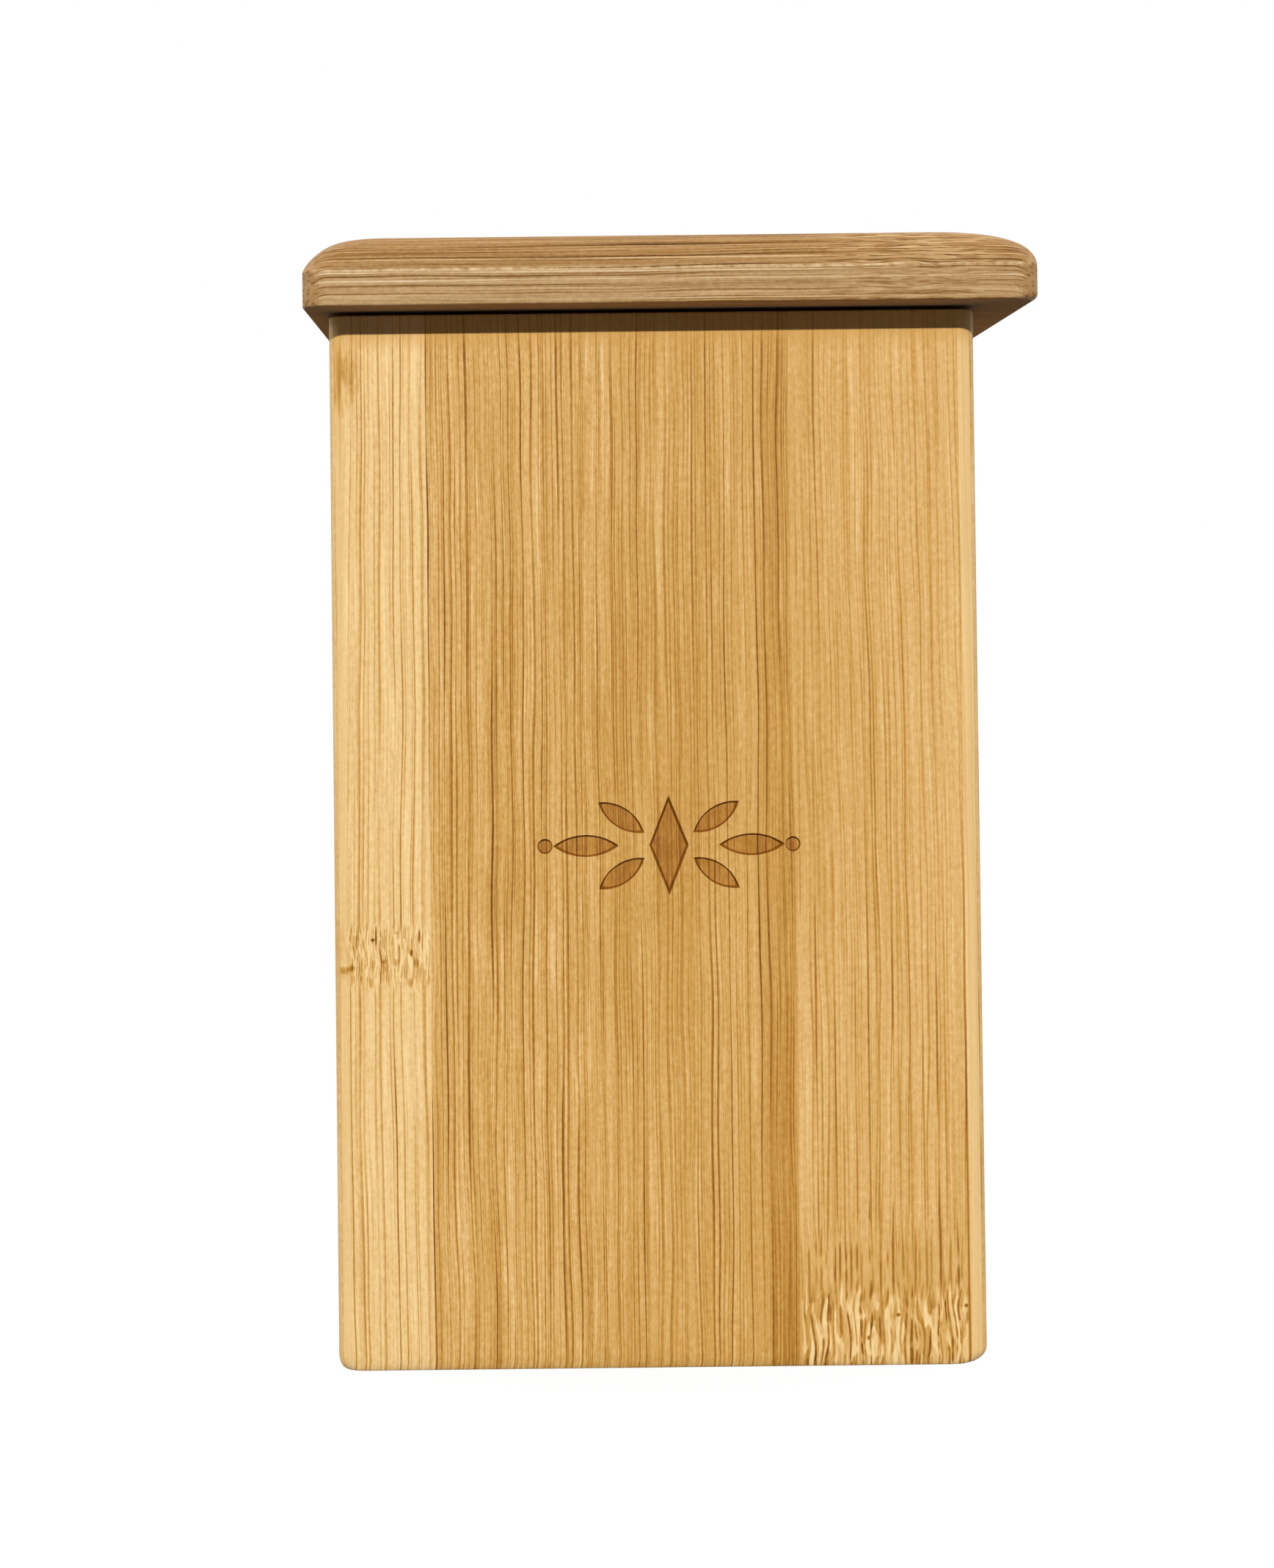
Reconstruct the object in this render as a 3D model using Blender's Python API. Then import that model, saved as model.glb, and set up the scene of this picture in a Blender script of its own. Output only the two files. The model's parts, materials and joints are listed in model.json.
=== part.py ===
"""A bamboo salt box: four mitred walls, a captured bottom board and a hinged lid that magnets hold shut.

Metres, +Z up, front towards -Y. The origin is on the table, under the middle of the whole outline.
"""

import math

import bmesh
import bpy
from mathutils import Matrix, Vector

# Box walls, measured over the outside
BODY_WIDTH = 0.0690
BODY_DEPTH = 0.0690
BODY_HEIGHT = 0.1120
WALL = 0.0065
BODY_CORNER_RADIUS = 0.0020
BASE_ROUND = 0.0012

# Bottom board, held by a tongue in a groove round the walls
BOTTOM_THICKNESS = 0.0060
TONGUE_THICKNESS = 0.0025
TONGUE_REACH = 0.0025

# Lid board: a low upright edge, then a broad round over to the flat top
LID_THICKNESS = 0.0076
LID_EDGE_HEIGHT = 0.0037
LID_GAP = 0.0004
LID_OVERHANG_LEFT = 0.0024
LID_OVERHANG_RIGHT = 0.0061
LID_OVERHANG_FRONT = 0.0057
LID_OVERHANG_BACK = 0.0057
LID_ROUND_LEFT = 0.0044
LID_ROUND_RIGHT = 0.0100
LID_ROUND_FRONT = 0.0044
LID_ROUND_BACK = 0.0044
LID_CORNER_RADIUS = 0.0030
LID_TOP_CORNER_RADIUS = 0.0050
LID_LOWER_ROUND = 0.0006
LID_ARRIS_ANGLE = math.radians(14)

# Disc magnets in the front wall's top edge and, above them, in the lid
MAGNET_RADIUS = 0.0020
MAGNET_THICKNESS = 0.0020
MAGNET_FROM_SIDE = 0.0085
MAGNET_PROUD = 0.00005

# Butt hinges let into the back wall's top edge and the lid's underside
HINGE_FROM_SIDE = 0.0165
HINGE_LENGTH = 0.0160
MIDDLE_KNUCKLE_LENGTH = 0.0052
LEAF_WIDTH = 0.0070
LEAF_THICKNESS = 0.0008
LEAF_GAP = 0.0003
KNUCKLE_RADIUS = 0.0015
PIN_RADIUS = 0.0006
PIN_CLEARANCE = 0.0001
PIN_OVERHANG = 0.0002

# Countersunk wood screws, two through each leaf
SCREW_FROM_LEAF_END = 0.0030
SCREW_RADIUS = 0.0008
SCREW_HEAD_RADIUS = 0.0014
SCREW_HEAD_HEIGHT = 0.0006
SCREW_POINT_LENGTH = 0.0012
SCREW_LENGTH_IN_BODY = 0.0080
SCREW_LENGTH_IN_LID = 0.0055
SCREW_SLOT_WIDTH = 0.0004
SCREW_SLOT_DEPTH = 0.0003

# Ornament engraved in the front wall
ENGRAVING_DEPTH = 0.0005
ENGRAVING_WIDTH = 0.0280
ENGRAVING_HEIGHT = 0.0106
ENGRAVING_RIGHT_OF_MIDDLE = 0.0012
ENGRAVING_ABOVE_TABLE = 0.0553
ENGRAVED_DOT_RADIUS = 0.0008
LOZENGE_WIDTH_SHARE = 0.15
DOT_PLACE_SHARE = 0.47

# One side's leaves: centre across and up, length and width as shares of the ornament's size, and tilt
LEAF_SHARES = (
    (0.315, 0.0, 0.25, 0.22, 0.0),
    (0.180, 0.28, 0.21, 0.20, math.radians(34)),
    (0.180, -0.28, 0.21, 0.20, math.radians(-34)),
)

# Clearances between separate pieces, and how far a cutter runs past what it cuts
JOINT_GAP = 0.0003
HARDWARE_GAP = 0.0002
OVERRUN = 0.0020

# Facets
CORNER_STEPS = 6
EDGE_STEPS = 4
LID_ROUND_STEPS = 12
LEAF_OUTLINE_STEPS = 8
DOT_FACETS = 14
MAGNET_FACETS = 36
KNUCKLE_FACETS = 28
SCREW_FACETS = 20

# Levels and places that several pieces share
HALF_WIDTH = BODY_WIDTH / 2
HALF_DEPTH = BODY_DEPTH / 2
LID_BOTTOM = BODY_HEIGHT + LID_GAP
LID_TOP = LID_BOTTOM + LID_THICKNESS
AXIS_Y = HALF_DEPTH + JOINT_GAP + KNUCKLE_RADIUS
AXIS_Z = BODY_HEIGHT + LID_GAP / 2
LEAF_INNER_Y = AXIS_Y - LEAF_WIDTH
PLATE_OUTER_Y = AXIS_Y - KNUCKLE_RADIUS - JOINT_GAP
SCREW_Y = (LEAF_INNER_Y + PLATE_OUTER_Y) / 2
MAGNET_Y = -HALF_DEPTH + WALL / 2

BAMBOO_WALL = ((0.62, 0.37, 0.13), 0.48, 0.0)
BAMBOO_LID = ((0.46, 0.26, 0.09), 0.42, 0.0)
BRASS = ((0.60, 0.42, 0.16), 0.32, 1.0)
NICKEL = ((0.60, 0.60, 0.58), 0.22, 1.0)


def clear_scene():
    for obj in list(bpy.data.objects):
        bpy.data.objects.remove(obj, do_unlink=True)


def outline_frame():
    """The empty that every piece hangs from. It centres the whole outline, lid included, on the origin."""
    frame = bpy.data.objects.new("salt_box", None)
    frame.location.x = (LID_OVERHANG_LEFT - LID_OVERHANG_RIGHT) / 2
    frame.location.y = (LID_OVERHANG_FRONT - LID_OVERHANG_BACK) / 2
    bpy.context.scene.collection.objects.link(frame)
    return frame


def add_object(name, bm, frame):
    bmesh.ops.recalc_face_normals(bm, faces=bm.faces)
    mesh = bpy.data.meshes.new(name)
    bm.to_mesh(mesh)
    bm.free()
    obj = bpy.data.objects.new(name, mesh)
    obj.parent = frame
    bpy.context.scene.collection.objects.link(obj)
    return obj


def finish(obj, surface):
    """Gives a piece its own material and shades its round faces smooth."""
    colour, roughness, metallic = surface
    material = bpy.data.materials.new(obj.name)
    material.use_nodes = True
    shader = material.node_tree.nodes["Principled BSDF"]
    shader.inputs["Base Color"].default_value = (*colour, 1.0)
    shader.inputs["Roughness"].default_value = roughness
    shader.inputs["Metallic"].default_value = metallic
    obj.data.materials.append(material)
    obj.data.shade_smooth()
    obj.data.set_sharp_from_angle(angle=math.radians(30))


def hang_on_axis(obj):
    """Puts a moving piece's origin on the hinge axis and leaves its shape where it is."""
    axis_point = Vector((0, AXIS_Y, AXIS_Z))
    obj.data.transform(Matrix.Translation(-axis_point))
    obj.location = axis_point


def combine(target, tool, operation):
    """Cuts a tool out of a piece, or joins it on, and hides the tool."""
    modifier = target.modifiers.new(tool.name, "BOOLEAN")
    modifier.operation = operation
    modifier.solver = "EXACT"
    modifier.object = tool
    tool.hide_render = True
    tool.hide_set(True)
    tool.display_type = "WIRE"


def cut(target, tool):
    combine(target, tool, "DIFFERENCE")


def join(target, tool):
    combine(target, tool, "UNION")


def add_ring(bm, points):
    verts = [bm.verts.new(point) for point in points]
    return [bm.edges.new((a, b)) for a, b in zip(verts, verts[1:] + verts[:1])]


def loft(rings):
    """A closed solid through outlines of equal point count, capped at both ends."""
    bm = bmesh.new()
    loops = [add_ring(bm, ring) for ring in rings]
    for lower, upper in zip(loops, loops[1:]):
        bmesh.ops.bridge_loops(bm, edges=lower + upper)
    bmesh.ops.contextual_create(bm, geom=loops[0])
    bmesh.ops.contextual_create(bm, geom=loops[-1])
    return bm


def box(low, high):
    bm = bmesh.new()
    bmesh.ops.create_cube(bm, size=1)
    size = Vector(high) - Vector(low)
    bmesh.ops.scale(bm, vec=size, verts=bm.verts)
    bmesh.ops.translate(bm, vec=Vector(low) + size / 2, verts=bm.verts)
    return bm


def turned(profile, centre, facets):
    """A solid of revolution about a vertical line, from pairs of radius and height."""
    steps = [2 * math.pi * step / facets for step in range(facets)]
    rings = [
        [(centre[0] + radius * math.cos(a), centre[1] + radius * math.sin(a), height) for a in steps]
        for radius, height in profile
    ]
    return loft(rings)


def rod_along_x(start, end, radius, facets):
    """A round rod on the hinge axis."""
    steps = [2 * math.pi * step / facets for step in range(facets)]
    rings = [
        [(x, AXIS_Y + radius * math.cos(a), AXIS_Z + radius * math.sin(a)) for a in steps]
        for x in (start, end)
    ]
    return loft(rings)


def arc(centre, radius, start, end, steps):
    """Points on an arc in the plane, both ends included."""
    angles = [start + (end - start) * step / steps for step in range(steps + 1)]
    return [(centre[0] + radius * math.cos(a), centre[1] + radius * math.sin(a)) for a in angles]


def wall_outline(length, distance, inset):
    """Plan of a wall with its outer face towards -Y, mitred at both ends, its outer corners rounded."""
    shift = JOINT_GAP / math.sqrt(2)
    mitre = math.pi / 4 + math.asin(shift / (math.sqrt(2) * BODY_CORNER_RADIUS))
    half = length / 2 - inset
    face = -distance + inset
    centre = (half - BODY_CORNER_RADIUS, face + BODY_CORNER_RADIUS)
    right = arc(centre, BODY_CORNER_RADIUS, -math.pi / 2, -mitre, CORNER_STEPS)
    right.append((length / 2 - WALL - shift, -distance + WALL))
    left = [(-x, y) for x, y in reversed(right)]
    return left + right


def wall(name, length, distance, turn, frame):
    """One wall, eased round its foot, turned about the box's middle to its side."""
    rings = []
    for step in range(EDGE_STEPS + 1):
        angle = math.pi / 2 * step / EDGE_STEPS
        inset = BASE_ROUND * (1 - math.sin(angle))
        height = BASE_ROUND * (1 - math.cos(angle))
        rings.append([(x, y, height) for x, y in wall_outline(length, distance, inset)])
    rings.append([(x, y, BODY_HEIGHT) for x, y in wall_outline(length, distance, 0)])
    obj = add_object(name, loft(rings), frame)
    obj.data.transform(Matrix.Rotation(turn, 4, "Z"))
    return obj


def groove_cutter(frame):
    """The slot that the bottom board's tongue sits in, round all four walls."""
    reach_x = HALF_WIDTH - WALL + TONGUE_REACH + JOINT_GAP
    reach_y = HALF_DEPTH - WALL + TONGUE_REACH + JOINT_GAP
    low = (BOTTOM_THICKNESS - TONGUE_THICKNESS) / 2 - JOINT_GAP
    high = (BOTTOM_THICKNESS + TONGUE_THICKNESS) / 2 + JOINT_GAP
    return add_object("groove_cutter", box((-reach_x, -reach_y, low), (reach_x, reach_y, high)), frame)


def bottom_panel(frame):
    """The bottom board, with its tongue at mid thickness."""
    x = HALF_WIDTH - WALL - JOINT_GAP
    y = HALF_DEPTH - WALL - JOINT_GAP
    board = add_object("bottom_panel", box((-x, -y, 0), (x, y, BOTTOM_THICKNESS)), frame)
    x += TONGUE_REACH
    y += TONGUE_REACH
    low = (BOTTOM_THICKNESS - TONGUE_THICKNESS) / 2
    tongue = box((-x, -y, low), (x, y, low + TONGUE_THICKNESS))
    join(board, add_object("bottom_tongue", tongue, frame))
    finish(board, BAMBOO_WALL)


def rounded_rectangle(low, high, radius, height):
    corners = (
        ((high[0] - radius, low[1] + radius), -math.pi / 2),
        ((high[0] - radius, high[1] - radius), 0),
        ((low[0] + radius, high[1] - radius), math.pi / 2),
        ((low[0] + radius, low[1] + radius), math.pi),
    )
    points = []
    for centre, start in corners:
        points += arc(centre, radius, start, start + math.pi / 2, CORNER_STEPS)
    return [(x, y, height) for x, y in points]


def lid_ring(insets, radius, height):
    """The lid's plan at one level, taken in by its own amount on the left, right, front and back."""
    left, right, front, back = insets
    low = (-HALF_WIDTH - LID_OVERHANG_LEFT + left, -HALF_DEPTH - LID_OVERHANG_FRONT + front)
    high = (HALF_WIDTH + LID_OVERHANG_RIGHT - right, HALF_DEPTH + LID_OVERHANG_BACK - back)
    return rounded_rectangle(low, high, radius, height)


def lid_rings():
    """The lid from its eased lower edge, up the upright edge, and over the round to the flat top."""
    rings = []
    for step in range(EDGE_STEPS + 1):
        angle = math.pi / 2 * step / EDGE_STEPS
        inset = LID_LOWER_ROUND * (1 - math.sin(angle))
        height = LID_BOTTOM + LID_LOWER_ROUND * (1 - math.cos(angle))
        rings.append(lid_ring([inset] * 4, LID_CORNER_RADIUS, height))
    rounds = (LID_ROUND_LEFT, LID_ROUND_RIGHT, LID_ROUND_FRONT, LID_ROUND_BACK)
    arris = LID_BOTTOM + LID_EDGE_HEIGHT
    for step in range(LID_ROUND_STEPS + 1):
        angle = LID_ARRIS_ANGLE + (math.pi / 2 - LID_ARRIS_ANGLE) * step / LID_ROUND_STEPS
        across = 1 - math.cos(angle) / math.cos(LID_ARRIS_ANGLE)
        up = (math.sin(angle) - math.sin(LID_ARRIS_ANGLE)) / (1 - math.sin(LID_ARRIS_ANGLE))
        radius = LID_CORNER_RADIUS + (LID_TOP_CORNER_RADIUS - LID_CORNER_RADIUS) * across
        height = arris + (LID_TOP - arris) * up
        rings.append(lid_ring([width * across for width in rounds], radius, height))
    return rings


def magnet_pocket(name, x, low, high, frame):
    profile = ((MAGNET_RADIUS + JOINT_GAP, low), (MAGNET_RADIUS + JOINT_GAP, high))
    return add_object(name, turned(profile, (x, MAGNET_Y), MAGNET_FACETS), frame)


def magnet(name, x, low, frame):
    profile = ((MAGNET_RADIUS, low), (MAGNET_RADIUS, low + MAGNET_THICKNESS))
    obj = add_object(name, turned(profile, (x, MAGNET_Y), MAGNET_FACETS), frame)
    finish(obj, NICKEL)
    return obj


def fit_magnets(front_panel, lid_board, frame):
    """A pair of magnets each side: one in the wall, and one in the lid that meets it."""
    body_low = BODY_HEIGHT + MAGNET_PROUD - MAGNET_THICKNESS
    lid_low = LID_BOTTOM - MAGNET_PROUD
    for side, x in (("left", MAGNET_FROM_SIDE - HALF_WIDTH), ("right", HALF_WIDTH - MAGNET_FROM_SIDE)):
        floor = body_low - JOINT_GAP
        cut(front_panel, magnet_pocket(f"{side}_body_pocket", x, floor, BODY_HEIGHT + OVERRUN, frame))
        roof = lid_low + MAGNET_THICKNESS + JOINT_GAP
        cut(lid_board, magnet_pocket(f"{side}_lid_pocket", x, LID_BOTTOM - OVERRUN, roof, frame))
        magnet(f"{side}_body_magnet", x, body_low, frame)
        hang_on_axis(magnet(f"{side}_lid_magnet", x, lid_low, frame))


def screw_profile(face, reach, clearance):
    """Radius and height along a countersunk screw from its head's face. A reach below zero points down."""
    head = SCREW_HEAD_RADIUS + clearance
    shank = SCREW_RADIUS + clearance
    tip = SCREW_RADIUS / 4 + clearance
    length = abs(reach) + clearance
    drops = ((head, 0), (shank, SCREW_HEAD_HEIGHT), (shank, length - SCREW_POINT_LENGTH), (tip, length))
    return [(radius, face + math.copysign(drop, reach)) for radius, drop in drops]


def screw(name, x, face, reach, frame):
    """A wood screw with a crossed slot in its head."""
    profile = screw_profile(face, reach, 0)
    obj = add_object(name, turned(profile, (x, SCREW_Y), SCREW_FACETS), frame)
    low = face - SCREW_SLOT_DEPTH
    high = face + SCREW_SLOT_DEPTH
    half_length = SCREW_HEAD_RADIUS / 2
    half_width = SCREW_SLOT_WIDTH / 2
    for label, half_x, half_y in (("slot", half_length, half_width), ("cross", half_width, half_length)):
        corners = ((x - half_x, SCREW_Y - half_y, low), (x + half_x, SCREW_Y + half_y, high))
        cut(obj, add_object(f"{name}_{label}", box(*corners), frame))
    finish(obj, BRASS)
    return obj


def screw_hole(name, x, face, reach, frame):
    """The clearance that a screw needs through a leaf and in the wood, open past its head."""
    profile = screw_profile(face, reach, HARDWARE_GAP)
    mouth = (profile[0][0], face - math.copysign(OVERRUN, reach))
    return add_object(name, turned([mouth, *profile], (x, SCREW_Y), SCREW_FACETS), frame)


def fit_screws(name, middle_x, leaf, board, face, reach, frame):
    """Two screws through one leaf into its board, with the holes that they need."""
    screws = []
    outwards = math.copysign(HINGE_LENGTH / 2 - SCREW_FROM_LEAF_END, middle_x)
    for label, x in (("outer", middle_x + outwards), ("inner", middle_x - outwards)):
        cut(leaf, screw_hole(f"{name}_{label}_leaf_hole", x, face, reach, frame))
        cut(board, screw_hole(f"{name}_{label}_hole", x, face, reach, frame))
        screws.append(screw(f"{name}_{label}_screw", x, face, reach, frame))
    return screws


def knuckle_spans(middle_x):
    """Start and end of the outer left, middle and outer right knuckles along the axis."""
    start = middle_x - HINGE_LENGTH / 2
    end = middle_x + HINGE_LENGTH / 2
    low = middle_x - MIDDLE_KNUCKLE_LENGTH / 2
    high = middle_x + MIDDLE_KNUCKLE_LENGTH / 2
    return (start, low - JOINT_GAP), (low, high), (high + JOINT_GAP, end)


def hinge_leaf(name, middle_x, plate_low, spans, frame):
    """A flat plate with a tongue and a knuckle at each of its spans."""
    plate_high = plate_low + LEAF_THICKNESS
    start = middle_x - HINGE_LENGTH / 2
    end = middle_x + HINGE_LENGTH / 2
    plate = box((start, LEAF_INNER_Y, plate_low), (end, PLATE_OUTER_Y, plate_high))
    leaf = add_object(name, plate, frame)
    bore_radius = PIN_RADIUS + PIN_CLEARANCE
    tongue_end = AXIS_Y - (KNUCKLE_RADIUS + bore_radius) / 2
    tongue_start = PLATE_OUTER_Y - LEAF_THICKNESS
    for number, (low, high) in enumerate(spans):
        tongue = box((low, tongue_start, plate_low), (high, tongue_end, plate_high))
        join(leaf, add_object(f"{name}_tongue_{number}", tongue, frame))
        barrel = rod_along_x(low, high, KNUCKLE_RADIUS, KNUCKLE_FACETS)
        join(leaf, add_object(f"{name}_knuckle_{number}", barrel, frame))
    bore = rod_along_x(start - OVERRUN, end + OVERRUN, bore_radius, KNUCKLE_FACETS)
    cut(leaf, add_object(f"{name}_bore", bore, frame))
    return leaf


def leaf_mortise(name, middle_x, low, high, frame):
    """The shallow recess that a leaf sits in, open towards the hinge axis."""
    half = HINGE_LENGTH / 2 + JOINT_GAP
    corners = ((middle_x - half, LEAF_INNER_Y - JOINT_GAP, low), (middle_x + half, AXIS_Y, high))
    return add_object(name, box(*corners), frame)


def knuckle_groove(name, middle_x, frame):
    """The hollow in the lid's underside that clears the knuckles."""
    half = HINGE_LENGTH / 2 + JOINT_GAP
    radius = KNUCKLE_RADIUS + JOINT_GAP
    return add_object(name, rod_along_x(middle_x - half, middle_x + half, radius, KNUCKLE_FACETS), frame)


def fit_hinge(side, middle_x, back_panel, lid_board, frame):
    """A butt hinge: the body leaf holds the outer knuckles and the pin, the lid leaf the middle knuckle."""
    left_span, middle_span, right_span = knuckle_spans(middle_x)
    body_face = AXIS_Z - LEAF_GAP / 2
    body_low = body_face - LEAF_THICKNESS
    lid_face = AXIS_Z + LEAF_GAP / 2
    body_leaf = hinge_leaf(f"{side}_hinge_body_leaf", middle_x, body_low, (left_span, right_span), frame)
    lid_leaf = hinge_leaf(f"{side}_hinge_lid_leaf", middle_x, lid_face, (middle_span,), frame)

    floor = body_low - JOINT_GAP
    cut(back_panel, leaf_mortise(f"{side}_body_mortise", middle_x, floor, BODY_HEIGHT + OVERRUN, frame))
    roof = lid_face + LEAF_THICKNESS + JOINT_GAP
    cut(lid_board, leaf_mortise(f"{side}_lid_mortise", middle_x, LID_BOTTOM - OVERRUN, roof, frame))
    cut(lid_board, knuckle_groove(f"{side}_knuckle_groove", middle_x, frame))

    down = -SCREW_LENGTH_IN_BODY
    up = SCREW_LENGTH_IN_LID
    fit_screws(f"{side}_hinge_body", middle_x, body_leaf, back_panel, body_face, down, frame)
    lid_screws = fit_screws(f"{side}_hinge_lid", middle_x, lid_leaf, lid_board, lid_face, up, frame)

    half = HINGE_LENGTH / 2 + PIN_OVERHANG
    rod = rod_along_x(middle_x - half, middle_x + half, PIN_RADIUS, KNUCKLE_FACETS)
    pin = add_object(f"{side}_hinge_pin", rod, frame)
    for piece in (body_leaf, lid_leaf, pin):
        finish(piece, BRASS)
    for piece in (lid_leaf, *lid_screws):
        hang_on_axis(piece)


def leaf_outline(centre, length, width, tilt):
    """A pointed leaf: two arcs that meet at its ends."""
    bulge = math.atan(width / length)
    radius = length / (2 * math.sin(2 * bulge))
    rise = radius * math.cos(2 * bulge)
    spread = 2 * bulge
    upper = arc((0, -rise), radius, math.pi / 2 - spread, math.pi / 2 + spread, LEAF_OUTLINE_STEPS)
    lower = [(-x, -y) for x, y in upper]
    points = upper[:-1] + lower[:-1]
    turn = Matrix.Rotation(tilt, 2)
    return [turn @ Vector(point) + Vector(centre) for point in points]


def ornament_outlines():
    """A lozenge with three leaves and a dot on each side, in metres from the ornament's centre."""
    across = ENGRAVING_WIDTH * LOZENGE_WIDTH_SHARE / 2
    up = ENGRAVING_HEIGHT / 2
    outlines = [[(across, 0), (0, up), (-across, 0), (0, -up)]]
    dot = arc((ENGRAVING_WIDTH * DOT_PLACE_SHARE, 0), ENGRAVED_DOT_RADIUS, 0, 2 * math.pi, DOT_FACETS)[:-1]
    right = [dot]
    for across_share, up_share, length_share, width_share, tilt in LEAF_SHARES:
        centre = (ENGRAVING_WIDTH * across_share, ENGRAVING_HEIGHT * up_share)
        size = (ENGRAVING_WIDTH * length_share, ENGRAVING_HEIGHT * width_share)
        right.append(leaf_outline(centre, *size, tilt))
    left = [[(-x, y) for x, y in outline] for outline in right]
    return outlines + right + left


def engraving_cutter(frame):
    """The ornament's outlines, run through the front face to the engraving's depth."""
    bm = bmesh.new()
    for outline in ornament_outlines():
        edges = add_ring(bm, [(x, -HALF_DEPTH - OVERRUN, y) for x, y in outline])
        made = bmesh.ops.contextual_create(bm, geom=edges)
        grown = bmesh.ops.extrude_face_region(bm, geom=made["faces"], use_keep_orig=True)
        verts = [item for item in grown["geom"] if isinstance(item, bmesh.types.BMVert)]
        bmesh.ops.translate(bm, vec=(0, OVERRUN + ENGRAVING_DEPTH, 0), verts=verts)
    bmesh.ops.translate(bm, vec=(ENGRAVING_RIGHT_OF_MIDDLE, 0, ENGRAVING_ABOVE_TABLE), verts=bm.verts)
    return add_object("engraving_cutter", bm, frame)


def build():
    clear_scene()
    frame = outline_frame()
    front_panel = wall("front_panel", BODY_WIDTH, HALF_DEPTH, 0, frame)
    right_panel = wall("right_panel", BODY_DEPTH, HALF_WIDTH, math.pi / 2, frame)
    back_panel = wall("back_panel", BODY_WIDTH, HALF_DEPTH, math.pi, frame)
    left_panel = wall("left_panel", BODY_DEPTH, HALF_WIDTH, -math.pi / 2, frame)
    groove = groove_cutter(frame)
    for panel in (front_panel, right_panel, back_panel, left_panel):
        cut(panel, groove)
    cut(front_panel, engraving_cutter(frame))
    bottom_panel(frame)

    lid_board = add_object("lid_board", loft(lid_rings()), frame)
    fit_magnets(front_panel, lid_board, frame)
    fit_hinge("left", HINGE_FROM_SIDE - HALF_WIDTH, back_panel, lid_board, frame)
    fit_hinge("right", HALF_WIDTH - HINGE_FROM_SIDE, back_panel, lid_board, frame)
    hang_on_axis(lid_board)

    for panel in (front_panel, right_panel, back_panel, left_panel):
        finish(panel, BAMBOO_WALL)
    finish(lid_board, BAMBOO_LID)


build()
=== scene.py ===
"""The looks of a bamboo salt box: walls, lid, hinges, screws, magnets, floor, lights and camera."""

import json
import math

import bmesh
import bpy
from mathutils import Matrix, Vector

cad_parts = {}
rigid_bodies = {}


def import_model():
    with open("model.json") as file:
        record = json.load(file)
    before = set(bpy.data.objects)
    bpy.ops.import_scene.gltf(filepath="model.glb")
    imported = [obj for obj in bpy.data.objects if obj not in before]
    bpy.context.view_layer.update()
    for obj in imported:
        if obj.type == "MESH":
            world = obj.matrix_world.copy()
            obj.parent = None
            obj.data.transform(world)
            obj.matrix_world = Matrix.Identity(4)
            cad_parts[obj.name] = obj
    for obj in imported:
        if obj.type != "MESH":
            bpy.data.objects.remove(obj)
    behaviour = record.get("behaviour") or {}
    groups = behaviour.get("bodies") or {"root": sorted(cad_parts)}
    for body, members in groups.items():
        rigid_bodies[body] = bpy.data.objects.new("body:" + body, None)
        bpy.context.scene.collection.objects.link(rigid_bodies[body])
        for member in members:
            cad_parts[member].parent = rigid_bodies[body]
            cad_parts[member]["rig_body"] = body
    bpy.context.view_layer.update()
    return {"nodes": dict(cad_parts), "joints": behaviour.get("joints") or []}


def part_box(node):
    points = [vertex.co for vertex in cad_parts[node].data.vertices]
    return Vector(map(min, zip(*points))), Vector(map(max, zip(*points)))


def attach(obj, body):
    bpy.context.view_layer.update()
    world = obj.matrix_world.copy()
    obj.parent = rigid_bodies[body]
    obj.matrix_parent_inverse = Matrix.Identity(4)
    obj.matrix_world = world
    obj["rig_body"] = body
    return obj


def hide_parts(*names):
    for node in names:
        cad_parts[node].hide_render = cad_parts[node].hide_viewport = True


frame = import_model()

MM = 0.001

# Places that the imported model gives
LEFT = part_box("left_panel")[0].x
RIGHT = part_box("right_panel")[1].x
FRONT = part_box("front_panel")[0].y
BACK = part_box("back_panel")[1].y
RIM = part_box("front_panel")[1].z
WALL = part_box("front_panel")[1].y - FRONT
MIDDLE_X = (LEFT + RIGHT) / 2
MIDDLE_Y = (FRONT + BACK) / 2
LID_LOW, LID_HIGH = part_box("lid_board")
AXIS = Vector(frame["joints"][0]["pos_m"])

# Rounding of the box. Four values in a row are for the left, right, front and back
CORNER_RADIUS = 2.0 * MM
CORNER_STEPS = 9
FOOT_HEIGHT = 1.6 * MM
FOOT_ROUNDS = (0.7 * MM, 2.1 * MM, 0.4 * MM, 0.4 * MM)
FOOT_STEPS = 6
RIM_EASE = 0.20 * MM
RIM_STEPS = 3

# How far the mitres are set back, and how near a height a point has to be to count as lying at it
SEAM = 0.01 * MM

# Rounding of the lid: eased lower edges, then the arris and from there the broad rounds over the top.
# A fullness of 2 is a quarter circle, and a crease makes a round start at a slant
LID_LOWER_ROUNDS = (0.2 * MM, 0.75 * MM, 0.2 * MM, 0.2 * MM)
LID_LOWER_STEPS = 8
LID_ARRIS_HEIGHT = 3.7 * MM
LID_ROUNDS = (4.1 * MM, 7.6 * MM, 4.4 * MM, 4.4 * MM)
LID_FULLNESS = (1.4, 2.2, 1.8, 1.8)
LID_CREASES = (0.0, 0.0, 0.24, 0.24)
LID_ROUND_STEPS = 24
LID_CORNER_RADIUS = 3.0 * MM
LID_CORNER_GROWTH = 2.0 * MM

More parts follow.
